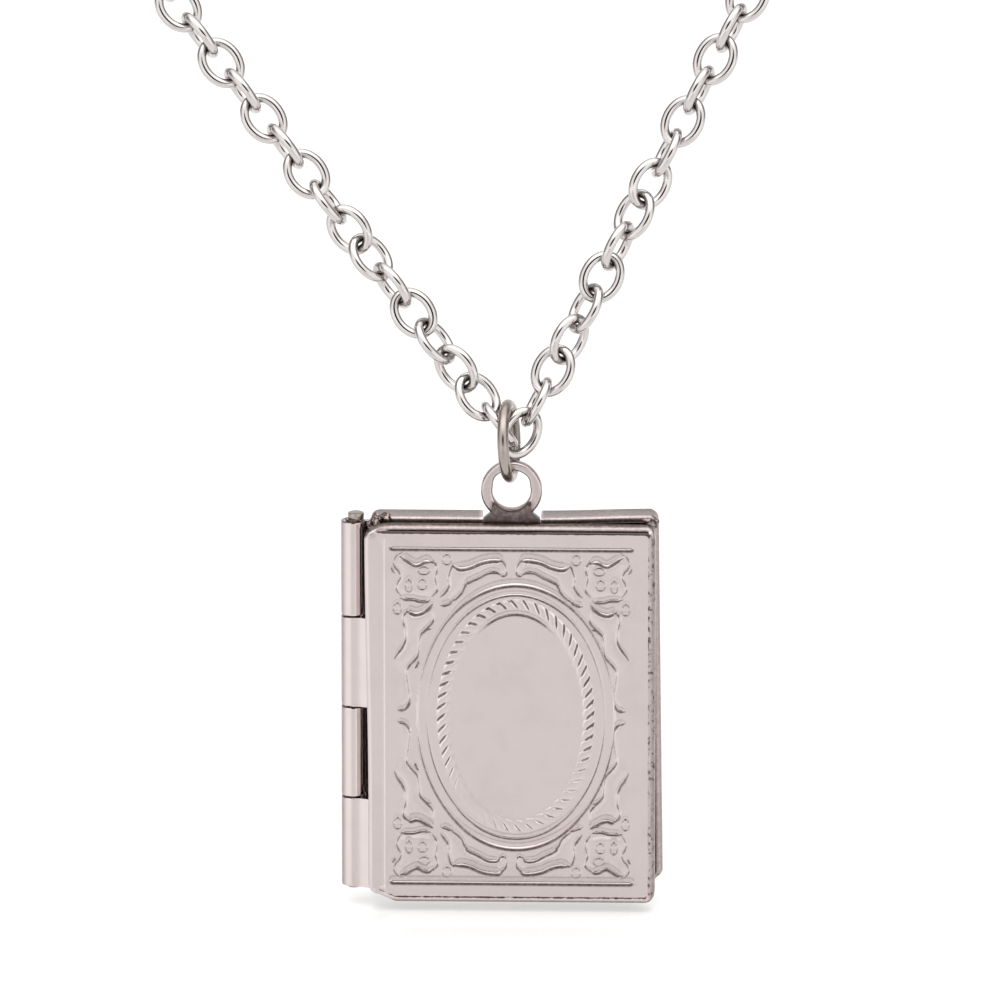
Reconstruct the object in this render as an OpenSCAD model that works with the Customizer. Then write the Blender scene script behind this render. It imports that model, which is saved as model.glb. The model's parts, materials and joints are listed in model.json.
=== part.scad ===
// A book locket on a cable chain, held as it hangs from a neck.
// The origin is where the chain rests on the nape. +Z is up and the locket's front faces -Y.

/* [Locket case] */
// Height of the case
case_h = 27; // [20:0.5:36]
// Width of the front cover
cover_w = 20; // [15:0.5:26]
// Thickness of the closed case
case_t = 5; // [4.6:0.1:5.4]
// Wall of the two covers
wall = 0.55; // [0.4:0.05:0.65]
// How much wider the back case is at its free edge
back_extra = 0.35; // [0:0.05:0.6]
// Radius of the corners seen from the front
corner_r = 0.75; // [0.4:0.05:1]
// Depth of the front cover's rim
front_depth = 1.5; // [1.4:0.05:1.8]
// Depth of the back case's rim
back_depth = 2.1; // [1.8:0.05:2.3]
// Gap between the inner lip and the front cover
lip_gap = 0.15; // [0.1:0.01:0.25]

/* [Hinge] */
// Outer diameter of the rolled barrel
barrel_d = 1.68; // [1.5:0.02:1.8]
// Diameter of the hinge pin
pin_d = 0.95; // [0.8:0.01:1]
// Length of the barrel
barrel_len = 26.4; // [19:0.2:35]
// Number of knuckles
knuckles = 4; // [2:2:6]
// Gap between one knuckle and the next
knuckle_gap = 0.12; // [0.08:0.01:0.2]

/* [Hanging loop and jump ring] */
// Outer diameter of the flat loop on the case
loop_d = 4.26; // [4:0.02:5]
// Diameter of the hole in the loop
loop_hole = 3; // [2.9:0.02:3.1]
// Thickness of the loop
loop_t = 0.8; // [0.7:0.02:0.8]
// Outer diameter of the jump ring
ring_d = 5.8; // [5.8:0.05:6]
// Wire of the jump ring
ring_wire = 0.76; // [0.7:0.02:0.76]
// Turn of the ring about the vertical, in degrees
ring_yaw = 7.4; // [0:0.1:9]
// Sideways lean of the ring, in degrees
ring_lean = 3.9; // [0:0.1:5]

/* [Chain] */
// Links on each side of the locket
links = 90; // [60:2:100]
// Length of a link between the middles of its end wires
link_l = 3.22; // [3.2:0.02:3.24]
// Width of a link between the middles of its side wires
link_w = 2.4; // [2.3:0.02:2.5]
// Wire of the links
link_wire = 0.62; // [0.5:0.01:0.62]
// Distance from one link's centre to the next
pitch = 2.44; // [2.4:0.01:2.44]
// Angle of the left strand from the vertical, in degrees
left_angle = 38; // [36:0.1:39]
// Angle of the right strand from the vertical, in degrees
right_angle = 27.1; // [26:0.1:29]

/* [Clasp] */
// Distance between the middles of the clasp's two eyes
clasp_span = 12; // [11:0.5:16]
// Diameter of the clasp's body
clasp_d = 2.6; // [2:0.1:3]

/* [Hidden] */
$fn = 48;
silver = [0.83, 0.79, 0.78];
nickel = [0.62, 0.57, 0.54];
bright = [0.9, 0.89, 0.88];
eps = 0.05;

// Case, in its own frame: the centre of the closed case is the zero point
z_top = case_h / 2;
y_front = -case_t / 2;
y_back = case_t / 2;
cover_x0 = -cover_w / 2 + 0.05;
cover_x1 = cover_w / 2 + 0.05;
back_x1 = cover_x1 + back_extra;
front_rim = y_front + front_depth;
back_rim = y_back - back_depth;
lip_t = 0.4;
lip_reach = 0.6;
lip_y = front_rim - lip_reach;
shelf = 0.55;
strip_w = 1.2;
strip_drop = 0.25;

// Relief on the front cover
relief_h = 0.16;
relief_x = 0.05;
relief_z = 0.1;
frame_x = 8.55;
frame_z = 12.15;
groove_w = 0.26;
groove_d = 0.12;
oval_x = relief_x + 0.2;
ROPE_IN = [4.55, 7.47];
ROPE_OUT = [5.6, 8.63];
BEAD_IN = [6.0, 8.82];
BEAD_OUT = [6.87, 9.64];
rope_strands = 50;
oval_sides = 72;
// One quarter's leaf along the top: x and z from the middle of the relief
LEAF_TOP = [[-4.7, 8.15], [-4.3, 9.6], [-4.05, 10.85], [-3.1, 10.75], [-2.35, 10.95], [-1.75, 11.25],
    [-0.75, 11.2], [-0.3, 10.8], [-0.55, 10.15], [-1.3, 10.4], [-2.1, 9.95], [-3.05, 9.75], [-3.35, 9.1],
    [-3.9, 8.5]];
// One quarter's leaf down the side
LEAF_SIDE = [[-5.45, 8.1], [-6.15, 7.35], [-6.85, 7.4], [-7.3, 7.55], [-7.55, 7.1], [-7.4, 5.7],
    [-7.6, 4.95], [-8.1, 4.05], [-7.75, 2.2], [-7.65, 0.35], [-6.95, 0.35], [-7.0, 1.3], [-7.1, 2.45],
    [-7.35, 3.2], [-7.15, 3.7], [-6.45, 4.8], [-6.35, 6.0], [-5.45, 6.85]];
// The corner flower's four petals: x and z from its own middle, and the radius
flower_x = -6.9;
flower_z = 10.1;
PETALS = [[-0.85, 0.95, 0.75], [0.85, 0.95, 0.75], [-0.8, -0.95, 0.7], [0.85, -0.95, 0.75]];

// Hinge, on an axis along Z that stands off the covers' left edge
hinge_off = 1.09;
barrel_rise = 0.2;
hinge_x = cover_x0 - hinge_off;
hinge_y = (front_rim + back_rim) / 2;
barrel_z = -barrel_len / 2 + barrel_rise;
knuckle_l = barrel_len / knuckles;
pin_gap = 0.05;
pin_head_d = 1.2;
pin_head_h = 0.75;

// Loop: its foot stands on the lip, in the groove between the covers
loop_rise = 2.4;
loop_z = z_top + loop_rise;
loop_y = hinge_y;
foot_w = 3;
lip_top = z_top - wall - lip_gap;
slot_w = 4.05;
slot_drop = 0.65;

// Jump ring: its bottom wire passes through the loop
ring_r = (ring_d - ring_wire) / 2;
// The ring's centre from the loop's plane and the case's top
RING_OFF = [-0.19, 0.15, 5.9];
RING_C = [0, loop_y, z_top] + RING_OFF;

// Chain: two strands rise from a crossing inside the ring, then run round the neck in an arc.
// The flat teardrop is bent on a sheet that leans back, u across it and w up it.
lean0 = 17;
knot_drop = 0.23;
knot_x = 0.39;
KNOT = RING_C + [knot_x, -knot_drop * sin(lean0), -knot_drop * cos(lean0)];
// Each strand's first link: its distance from the crossing, and how far it stands before the sheet
FIRST_S = [1.75, 0.9];
FIRST_OFF = [0.09, -0.02];
lean1 = 65;
bend0 = 45;
bend1 = 115;
eye_gap = 2.13;
half_angle = (left_angle + right_angle) / 2;
tilt = (left_angle - right_angle) / 2;
function strand(side) = FIRST_S[side < 0 ? 0 : 1] + (links - 1) * pitch + eye_gap;
loop_len = strand(-1) + strand(1) + clasp_span;
arc_turn = 180 + 2 * half_angle;
arc_r = loop_len / (2 / tan(half_angle) + arc_turn * PI / 180);
straight = arc_r / tan(half_angle);
nape_w = (arc_r / sin(half_angle) + arc_r) * cos(tilt);
nape_u = -(arc_r / sin(half_angle) + arc_r) * sin(tilt);
// Roll of the left and the right links from the crossing up, 0 face-on; past the lists they alternate
ROLLS = [[92, 28, -34, 56, -4, -66, 38, -24, 76, 14], [154, 79, 17, -45, 56, -6, -68, 36, -26, 76, 14]];

// Lean of the sheet, then its depth and height, at a distance w up it
function lean(w) = w < bend0 ? lean0 : w > bend1 ? lean1
    : lean0 + (lean1 - lean0) * (w - bend0) / (bend1 - bend0);
bend_r = (bend1 - bend0) / ((lean1 - lean0) * PI / 180);
function sheet_y(w) = min(w, bend0) * sin(lean0) + max(w - bend1, 0) * sin(lean1)
    + bend_r * (cos(lean0) - cos(lean(w)));
function sheet_z(w) = min(w, bend0) * cos(lean0) + max(w - bend1, 0) * cos(lean1)
    + bend_r * (sin(lean(w)) - sin(lean0));

// A strand's flat point and heading at a distance s from the crossing; side is -1 left, 1 right
function heading(s, side) = let(a = side < 0 ? left_angle : right_angle)
    s < straight ? a : a - (s - straight) / arc_r * 180 / PI;
function flat(s, side) = let(a = side < 0 ? left_angle : right_angle, h = heading(s, side),
    d = min(s, straight))
    [side * (d * sin(a) + arc_r * (cos(h) - cos(a))),
     d * cos(a) + arc_r * (sin(a) - sin(h))];
function sheet_point(p) = KNOT + [p[0], sheet_y(p[1]), sheet_z(p[1])];
NAPE = sheet_point([nape_u, nape_w]);

// The frame of a link: along the strand, then across it by its roll, then its own normal
function link_frame(s, side, roll, off) = let(
    p = flat(s, side), h = heading(s, side), l = lean(p[1]),
    along = [side * sin(h), cos(h) * sin(l), cos(h) * cos(l)],
    up = [0, -cos(l), sin(l)],
    across = cross(up, along) * cos(roll) + up * sin(roll),
    normal = cross(along, across),
    c = sheet_point(p) + up * off)
    [[along[0], across[0], normal[0], c[0]],
     [along[1], across[1], normal[1], c[1]],
     [along[2], across[2], normal[2], c[2]],
     [0, 0, 0, 1]];

// A link is two half rings joined by straight wires
end_r = link_w / 2;
side_l = link_l - link_w;

module link() {
    for (k = [-1, 1]) {
        translate([k * side_l / 2, 0, 0]) rotate([0, 0, -90 * k]) rotate_extrude(angle = 180)
            translate([end_r, 0]) circle(d = link_wire);
        translate([-side_l / 2, k * end_r, 0]) rotate([0, 90, 0]) cylinder(h = side_l, d = link_wire);
    }
}

module strand_of_links(side) {
    k = side < 0 ? 0 : 1;
    rolls = ROLLS[k];
    for (i = [0 : links - 1]) {
        roll = i < len(rolls) ? rolls[i] : rolls[len(rolls) - 1] + 90 * ((i - len(rolls) + 1) % 2);
        off = i == 0 ? FIRST_OFF[k] : 0;
        multmatrix(link_frame(FIRST_S[k] + i * pitch, side, -side * roll, off)) link();
    }
}

module chain_left() {
    color(bright) translate(-NAPE) strand_of_links(-1);
}

module chain_right() {
    color(bright) translate(-NAPE) strand_of_links(1);
}

// The clasp is straight between two points of the arc, with an eye at each end, each square to its link
module clasp() {
    a = sheet_point(flat(strand(-1), -1));
    b = sheet_point(flat(strand(1), 1));
    mid = (a + b) / 2;
    half = norm(b - a) / 2;
    eye_r = 1.25;
    eye_wire = 0.6;
    body = half - eye_r - 0.1;
    r = clasp_d / 2;
    profile = [[0, -body], [r * 0.5, -body], [r * 0.85, -body + 0.6], [r, -body + 1.6], [r, body - 1.6],
        [r * 0.85, body - 0.6], [r * 0.5, body], [0, body]];
    color(bright) translate(-NAPE) translate(mid) multmatrix(clasp_frame(b - a)) {
        for (k = [-1, 1]) translate([k * half, 0, 0]) rotate([45 * (k + 1), 0, 0]) rotate_extrude()
            translate([eye_r, 0]) circle(d = eye_wire);
        rotate([0, 90, 0]) rotate_extrude() polygon(profile);
    }
}

// Along the clasp, then square to the sheet
function clasp_frame(d) = let(along = d / norm(d), up = [0, -cos(lean1), sin(lean1)],
    across = up - along * (up * along), q = across / norm(across), n = cross(along, q))
    [[along[0], q[0], n[0], 0], [along[1], q[1], n[1], 0], [along[2], q[2], n[2], 0], [0, 0, 0, 1]];

module jump_ring() {
    color(nickel) translate(RING_C - NAPE) rotate([0, -ring_lean, 0]) rotate([0, 0, -ring_yaw])
        rotate([0, 90, 0]) rotate_extrude() translate([ring_r, 0]) circle(d = ring_wire);
}

// A slab with round corners in the XZ plane, from y0 to y1
module slab(x0, x1, half_z, r, y0, y1) {
    for (x = [x0 + r, x1 - r]) for (z = [-half_z + r, half_z - r])
        translate([x, y0, z]) rotate([-90, 0, 0]) cylinder(h = y1 - y0, r = r);
    translate([x0, y0, -half_z + r]) cube([x1 - x0, y1 - y0, 2 * (half_z - r)]);
    translate([x0 + r, y0, -half_z]) cube([x1 - x0 - 2 * r, y1 - y0, 2 * half_z]);
}

// The plane outline of an oval, z up, from its two half axes
function oval_points(h) = [for (i = [0 : oval_sides - 1]) let(a = 360 * i / oval_sides)
    [h[0] * cos(a), h[1] * sin(a)]];

// A prism that stands on the front face by h, from an outline in x and z
module raised(points, h) {
    translate([0, y_front + eps, 0]) rotate([90, 0, 0]) linear_extrude(h + eps) polygon(points);
}

module oval_band(inner, outer, h) {
    difference() {
        raised(oval_points(outer), h);
        translate([0, -h, 0]) raised(oval_points(inner), 2 * h + eps);
        translate([0, y_front + eps, 0]) rotate([-90, 0, 0]) linear_extrude(1) polygon(oval_points(outer));
    }
}

// Slanted strands between the rope's two ovals
module rope() {
    slant = 5;
    half = 360 / rope_strands * 0.3;
    for (i = [0 : rope_strands - 1]) {
        a = 360 * i / rope_strands;
        raised([rope_at(ROPE_OUT, a - half), rope_at(ROPE_OUT, a + half),
            rope_at(ROPE_IN, a + half - slant), rope_at(ROPE_IN, a - half - slant)], relief_h);
    }
}

function rope_at(h, a) = [h[0] * cos(a), h[1] * sin(a)];

module quarter_relief() {
    raised(LEAF_TOP, relief_h);
    raised(LEAF_SIDE, relief_h);
    for (p = PETALS) translate([flower_x + p[0], y_front + eps, flower_z + p[1]]) rotate([90, 0, 0])
        cylinder(h = relief_h + eps, r = p[2]);
    translate([flower_x - 1, y_front - relief_h, flower_z - 1.2]) cube([2, relief_h + eps, 2.4]);
}

module relief() {
    translate([relief_x, 0, relief_z]) for (mx = [0, 1]) for (mz = [0, 1])
        mirror([mx, 0, 0]) mirror([0, 0, mz]) quarter_relief();
    translate([oval_x, 0, relief_z]) {
        oval_band(BEAD_IN, BEAD_OUT, relief_h);
        rope();
    }
}

// Knuckles of one cover: which is 0 for the back case and 1 for the front cover
module cover_knuckles(which) {
    for (k = [0 : knuckles - 1]) if (k % 2 == which) {
        z1 = barrel_z + barrel_len - k * knuckle_l - knuckle_gap / 2;
        translate([hinge_x, hinge_y, z1 - knuckle_l + knuckle_gap])
            cylinder(h = knuckle_l - knuckle_gap, d = barrel_d);
    }
}

// The leaf of sheet from each knuckle to its cover; side is -1 towards the front, 1 the back
module cover_leaves(which, side, reach_y) {
    r = barrel_d / 2;
    for (k = [0 : knuckles - 1]) if (k % 2 == which) {
        z1 = min(barrel_z + barrel_len - k * knuckle_l - knuckle_gap / 2, z_top - 0.1);
        z0 = max(barrel_z + barrel_len - (k + 1) * knuckle_l + knuckle_gap / 2, -z_top + 0.1);
        translate([0, 0, z0]) linear_extrude(z1 - z0) polygon([
            [hinge_x, hinge_y + side * r], [cover_x0 + 0.3, reach_y + side * 0.5],
            [cover_x0 + 0.3, reach_y + side * 0.05], [hinge_x + 0.3, hinge_y + side * (r - 0.3)]]);
    }
}

module hinge_bore() {
    translate([hinge_x, hinge_y, barrel_z - 1]) cylinder(h = barrel_len + 2, d = pin_d + 2 * pin_gap);
}

module front_cover() {
    color(silver) translate(-NAPE) difference() {
        union() {
            difference() {
                slab(cover_x0, cover_x1, z_top, corner_r, y_front, front_rim);
                slab(cover_x0 + wall, cover_x1 - wall, z_top - wall, corner_r - 0.3, y_front + wall,
                    front_rim + 1);
                translate([cover_x0 - 1, y_front - 1, -z_top - 1])
                    cube([strip_w + 1, 1 + strip_drop, case_h + 2]);
                frame_groove();
            }
            relief();
            cover_knuckles(1);
            cover_leaves(1, -1, front_rim);
        }
        hinge_bore();
    }
}

module frame_groove() {
    translate([relief_x, y_front - 1, relief_z]) {
        for (k = [-1, 1]) {
            translate([k * frame_x - groove_w / 2, 0, -frame_z - groove_w / 2])
                cube([groove_w, 1 + groove_d, 2 * frame_z + groove_w]);
            translate([-frame_x - groove_w / 2, 0, k * frame_z - groove_w / 2])
                cube([2 * frame_x + groove_w, 1 + groove_d, groove_w]);
        }
    }
}

module hanging_loop() {
    translate([0, loop_y - loop_t / 2, 0]) {
        translate([0, 0, loop_z]) rotate([-90, 0, 0]) difference() {
            union() {
                cylinder(h = loop_t, d = loop_d);
                translate([-foot_w / 2, 0, 0]) cube([foot_w, loop_z - lip_top + eps, loop_t]);
            }
            translate([0, 0, -1]) cylinder(h = loop_t + 2, d = loop_hole);
        }
    }
}

module back_case() {
    in = wall + lip_gap;
    color(silver) translate(-NAPE) difference() {
        union() {
            difference() {
                slab(cover_x0, back_x1, z_top, corner_r, back_rim, y_back);
                slab(cover_x0 + wall, back_x1 - wall, z_top - wall, corner_r - 0.3, back_rim + shelf,
                    y_back - wall);
                translate([-slot_w / 2, back_rim - 1, z_top - slot_drop])
                    cube([slot_w, back_depth + 2, slot_drop + 1]);
            }
            slab(cover_x0 + in, cover_x1 - in, z_top - in, corner_r - 0.3, lip_y, back_rim + shelf);
            hanging_loop();
            cover_knuckles(0);
            cover_leaves(0, 1, back_rim);
        }
        slab(cover_x0 + in + lip_t, cover_x1 - in - lip_t, z_top - in - lip_t, corner_r - 0.4, lip_y - 1,
            y_back - wall);
        hinge_bore();
    }
}

module hinge_pin() {
    z0 = barrel_z - 0.15;
    z1 = barrel_z + barrel_len + 0.1;
    color(nickel) translate([hinge_x, hinge_y, 0] - NAPE) {
        translate([0, 0, z0]) cylinder(h = z1 - z0 + eps, d = pin_d);
        translate([0, 0, z1]) cylinder(h = pin_head_h, d = pin_head_d);
    }
}

chain_left();
chain_right();
clasp();
jump_ring();
back_case();
front_cover();
hinge_pin();
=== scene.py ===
"""The looks of a book locket that hangs by a jump ring from a cable chain, on a plain pale floor.

Every piece is built in millimetres in the case's own frame, whose zero point is the centre of the
closed case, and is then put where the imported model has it. The front faces -Y and +Z is up.
"""

import json
from math import copysign, cos, pi, radians, sin, tan

import bmesh
import bpy
import numpy as np
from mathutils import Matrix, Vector


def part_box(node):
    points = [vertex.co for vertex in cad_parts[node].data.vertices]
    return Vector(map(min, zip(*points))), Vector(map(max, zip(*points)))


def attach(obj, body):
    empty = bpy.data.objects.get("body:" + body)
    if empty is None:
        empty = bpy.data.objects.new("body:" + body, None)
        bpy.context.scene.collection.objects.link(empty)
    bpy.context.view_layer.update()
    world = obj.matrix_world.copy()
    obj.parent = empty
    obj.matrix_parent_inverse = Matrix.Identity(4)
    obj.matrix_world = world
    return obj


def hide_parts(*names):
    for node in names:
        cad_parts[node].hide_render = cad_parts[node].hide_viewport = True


MM = 0.001
TINY = 1e-9
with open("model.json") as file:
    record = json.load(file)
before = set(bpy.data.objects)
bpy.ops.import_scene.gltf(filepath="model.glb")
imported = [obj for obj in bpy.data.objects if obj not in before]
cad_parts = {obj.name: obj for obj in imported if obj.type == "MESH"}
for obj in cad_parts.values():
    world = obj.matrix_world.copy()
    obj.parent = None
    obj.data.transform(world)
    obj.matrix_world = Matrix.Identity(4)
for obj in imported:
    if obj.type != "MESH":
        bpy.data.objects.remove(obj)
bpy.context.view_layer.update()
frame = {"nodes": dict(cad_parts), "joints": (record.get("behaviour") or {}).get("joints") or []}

# Case, in millimetres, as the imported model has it
CASE_T = 5.0
HALF_Z = 13.5
COVER_X0 = -9.95
COVER_X1 = 10.05
BACK_X1 = 10.4
FRONT_Y = -CASE_T / 2
FRONT_RIM = -1.0
BACK_RIM = 0.4
BACK_Y = CASE_T / 2
WALL = 0.55
CORNER_R = 0.75
LIP_IN = 0.7
LIP_T = 0.4
LIP_Y = -1.6
LIP_BACK = 0.95
# The back case's front edge, and the slot in its top for the loop's foot
BACK_SOFT = 0.34
SLOT_W = 4.05
SLOT_DROP = 0.65
# The plain strip by the hinge, and the radius of the cover's front edge on three sides
STRIP_X = -8.72
STRIP_STEP = 0.24
STRIP_DROP = 0.07
NOSE_BOTTOM = 0.42
NOSE_RIGHT = 0.5
NOSE_LEFT = 0.3
# How far the bent sheet leaves the plain shape: the back's top, right side and lower right corner, then
# the cover's bottom, left side and lower left corner
BACK_TALLER = 0.2
BACK_RISE = 0.2
BACK_LEAN = 0.17
BACK_CUT = 0.8
COVER_LOWER = 0.14
COVER_LEAN = 0.25
CUT_X = (-8.99, -8.24)
CUT_Z = 0.5
# The cover's top edge: a small nose, a ledge painted dark as shade and a bead behind it
PLATE_TOP = 0.13
PLATE_NOSE = 0.07
BEAD_R = 0.5
BEAD_Y = -1.21
BEAD_IN = 0.31
BEAD_FROM = 8
BEAD_TO = 114
# The outline's points: how far apart on the straight sides, how many round a corner, and its least radius
RIM_STEP = 0.6
CORNER_STEPS = 8
LEAST_R = 0.03
# The cover's edge: where the flat margin begins, the steps of the margin and of the rounded nose
MARGIN = 0.62
MARGIN_STEPS = 7
NOSE_STEPS = 12
# How dark and how spotted the cover's edge is, 0 to 1: painted shade on the rim and inside, right side,
# bottom, bead, the bead's back and the line under the bead, and a darker, spotted corner by the hinge
RIM_SHADE = 0.3
INSIDE_SPOTS = 0.25
RIGHT_SHADE = 0.56
RIGHT_SPOTS = 0.44
MARGIN_SPOTS = 0.46
LOWER_SHADE = 0.6
LOWER_SPOTS = 0.8
BEAD_SHADE = 0.75
BEAD_BACK_SHADE = 0.23
BEAD_SPOTS = 0.3
STRIPE_SHADE = 0.58
CORNER_DARK = 0.35
CORNER_SPOTS = 0.5

# Hinge
BARREL_R = 0.84
PIN_R = 0.475
BORE_R = 0.525
BARREL_LOW = -13.0
BARREL_LEN = 26.4
BARREL_SOFT = 0.07
KNUCKLES = 4
KNUCKLE_GAP = 0.12
PIN_HEAD_R = 0.57
PIN_HEAD_H = 0.48
PIN_HEAD_ASIDE = 0.2
TOP_KNUCKLE_TALLER = 0.3

# Hanging loop
LOOP_R = 2.13
LOOP_HOLE_R = 1.5
LOOP_T = 0.8
LOOP_Z = HALF_Z + 2.4
LOOP_Y = -0.3
FOOT_W = 4.03
FOOT_TOP_W = 2.7
LOOP_THICKER = 0.17
LOOP_SOFT = 0.2
FOOT_SOFT = 0.06
# Lobes of the lug at the top left corner, and of the rough seam at the top right: middle and half sizes
LUG_LOBES = [((-9.86, -0.2, 13.2), (0.3, 0.4, 0.32)), ((-9.42, -0.15, 13.62), (0.4, 0.5, 0.44)),
             ((-8.78, 0.1, 13.72), (0.42, 0.4, 0.34)), ((-9.3, -0.5, 13.22), (0.34, 0.36, 0.3))]
SEAM_LOBES = [((9.72, -0.2, 13.42), (0.32, 0.4, 0.2)), ((10.05, 0.15, 13.45), (0.22, 0.4, 0.34)),
              ((9.42, 0.2, 13.62), (0.34, 0.25, 0.14))]

# Chain and ring
RING_R = 2.52
RING_WIRE = 0.8
# The ring's seam: where it is and half its width, in degrees
SEAM_AT = 60.0
SEAM_HALF = 0.5
LINK_L = 3.22
LINK_W = 2.4
LINK_WIRE = 0.67
CLASP_R = 1.3
CLASP_NOSE = 1.6
CLASP_WAIST = 0.94
EYE_R = 1.25
EYE_WIRE = 0.6

# Relief on the front cover
RELIEF_X = 0.05
RELIEF_Z = 0.1
OVAL_X = 0.35
FRAME_X = 8.58
FRAME_Z = 12.2
FRAME_MIDDLE = 0.15
FRAME_SHORT = 0.3
FIELD_INSET = 0.5
RAISED = 0.05
RAISED_EDGE = 0.6
ROPE_IN = (4.56, 7.47)
ROPE_OUT = (5.61, 8.63)
SECOND = (6.21, 8.9)
OUTER = (6.89, 9.64)
STRANDS = 52
STRAND_ANGLE = 40.0
STRAND_HIGH = 0.045
STRAND_PIT = 0.075
STRAND_PIT_HALF = 0.21
STRAND_LINE = 0.03
STRAND_LINE_HALF = 0.28
# Half widths of the grooves. The frame's upright lines are shallower and the ovals' upright parts narrower,
# by these shares
FRAME_GROOVE = 0.33
FRAME_SIDE = 0.18
OUTER_GROOVE = 0.33
THIN_GROOVE = 0.22
OVAL_UPRIGHT = 0.42
DIMPLE_GROOVE = 0.11
# How much of a groove's painted shade a dimple takes
DIMPLE_SHADE = 0.7
# A groove's walls: their slope, its width by that of its line, how much wider its upper wall is, and the
# thin line of painted shade by the rim, as its place, width and darkness
GROOVE_SLOPE = 0.76
GROOVE_WIDER = 1.3
UPPER_WIDER = 0.8
RIM_AT = 0.42
RIM_W = 0.1
RIM_LINE_SHADE = 0.34
# Painted shade on a groove's walls, and more of it deep in a groove
WALL_SHADE = 0.84
DEEP_SHADE = 0.12
# Places where the rope is rubbed faint: angle round the oval, half width and how much, in degrees and 0 to 1
RUBBED = [(232, 30, 0.72), (285, 24, 0.4), (325, 22, 0.5), (100, 34, 0.2), (138, 22, 0.35)]

# Camera: the photograph's direction, and its picture of about 70 mm across the case
CAMERA_AZ = 1.5
CAMERA_EL = 17.0
PICTURE_W = 69.86
CAMERA_FAR = 1400.0
AIM_RIGHT = -0.78
AIM_UP = 14.38

# Plating: noise scales per metre, where the clouds' colour begins and is full, and how much of it shows,
# then the dark spots' contrast, where they begin and are full and how dark they are, and how much
# rougher the places darkened by painted shade and patina are
CLOUD_SCALE = 420
SPECK_SCALE = 3800
PATCH_SCALE = 2600
CLOUDED = (0.42, 0.75)
CLOUD_SHARE = 0.35
PATCH_CONTRAST = 1.3
SPOT_FROM = 0.48
SPOT_FULL = 0.72
SPOT_DARK = 0.96
DARKENED_ROUGH = 0.25

# Studio light by direction, in degrees and as brightness
OPENING_EL = 20.0
OPENING_HALF_EL = 16.5
OPENING_HALF_AZ = 24.0
SKY_FRONT = 1.45
SKY_SIDE = 0.34
SKY_BACK = 0.95
SKY_TOP = 1.3
SKY_LEAST = 0.02
SKY_TINT = (1, 0.995, 0.99, 1)
# Where the opening's edge is soft, by its radius, and where the front ends and the back begins, in
# degrees from the picture's direction, and the top, by height
OPENING_EDGE = (0.75, 1.15)
FRONT_ENDS = (62, 84)
BACK_BEGINS = (118, 138)
TOP_BEGINS = (0.55, 0.9)

# Floor
FLOOR_GAP = 0.8
FLOOR_HALF = 12000.0
FLOOR_COLOUR = (0.5, 0.5, 0.5, 1)
FLOOR_GLOW = 0.47
FLOOR_GLOW_TINT = (1, 0.998, 0.995, 1)
FLOOR_ROUGH = 0.1

joints = {j["name"]: j for j in frame["joints"]}
cover_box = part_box("front_cover")
back_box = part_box("back_case")
CASE = Vector((cover_box[1].x / MM - COVER_X1, back_box[1].y / MM - BACK_Y,
               (cover_box[0].z + cover_box[1].z) / 2 / MM))
hinge_at = Vector(joints["cover_open"]["pos_m"]) / MM - CASE
HINGE_X = hinge_at.x
HINGE_Y = hinge_at.y


# Helpers

def smooth(t):
    """A soft step: 0 up to 0, 1 from 1 on."""
    t = np.clip(t, 0, 1)
    return t * t * (3 - 2 * t)


def angles(start, stop, steps):
    """Even steps between two angles in degrees, both ends with them, in radians."""
    return [radians(start + (stop - start) * s / steps) for s in range(steps + 1)]


def new_object(name, points, faces):
    """A mesh object in the scene, from points in millimetres."""
    mesh = bpy.data.meshes.new(name)
    mesh.from_pydata((np.asarray(points, float) * MM).tolist(), [], faces)
    piece = bpy.data.objects.new(name, mesh)
    bpy.context.scene.collection.objects.link(piece)
    return piece


def make(name, points, faces, material, body, node, shade_and_patina=0.0, spots_and_shade=0.0,
         sharp=None, origin=CASE):
    """A mesh piece from points in millimetres. Two values darken each point, both 0 to 1: the first is
    painted shade and patina, the second dark spots, as tarnish and as painted shade."""
    points = np.asarray(points, float) + np.array(origin)
    piece = new_object(name, points, faces if isinstance(faces, list) else faces.tolist())
    mesh = piece.data
    mesh.validate()
    mesh.shade_smooth()
    if sharp is not None:
        mesh.set_sharp_from_angle(angle=radians(sharp))
    for key, values in (("shade_and_patina", shade_and_patina), ("spots_and_shade", spots_and_shade)):
        layer = mesh.attributes.new(key, "FLOAT", "POINT")
        layer.data.foreach_set("value", np.zeros(len(points)) + np.ravel(values))
    mesh.materials.append(material)
    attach(piece, body)
    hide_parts(node)
    return piece


def grid_faces(rows, cols, wrap_rows=False, wrap_cols=True, flip=False):
    """The quads of a grid of points stored row by row."""
    i, j = np.meshgrid(np.arange(rows if wrap_rows else rows - 1),
                       np.arange(cols if wrap_cols else cols - 1), indexing="ij")
    i, j = i.ravel(), j.ravel()
    i2, j2 = (i + 1) % rows, (j + 1) % cols
    quads = np.stack([i * cols + j, i * cols + j2, i2 * cols + j2, i2 * cols + j], 1)
    return quads[:, ::-1] if flip else quads


def caps(count, total):
    """The end faces of rings of that many points: the first ring's and the last ring's."""
    return [list(range(count))[::-1], list(range(total - count, total))]


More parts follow.
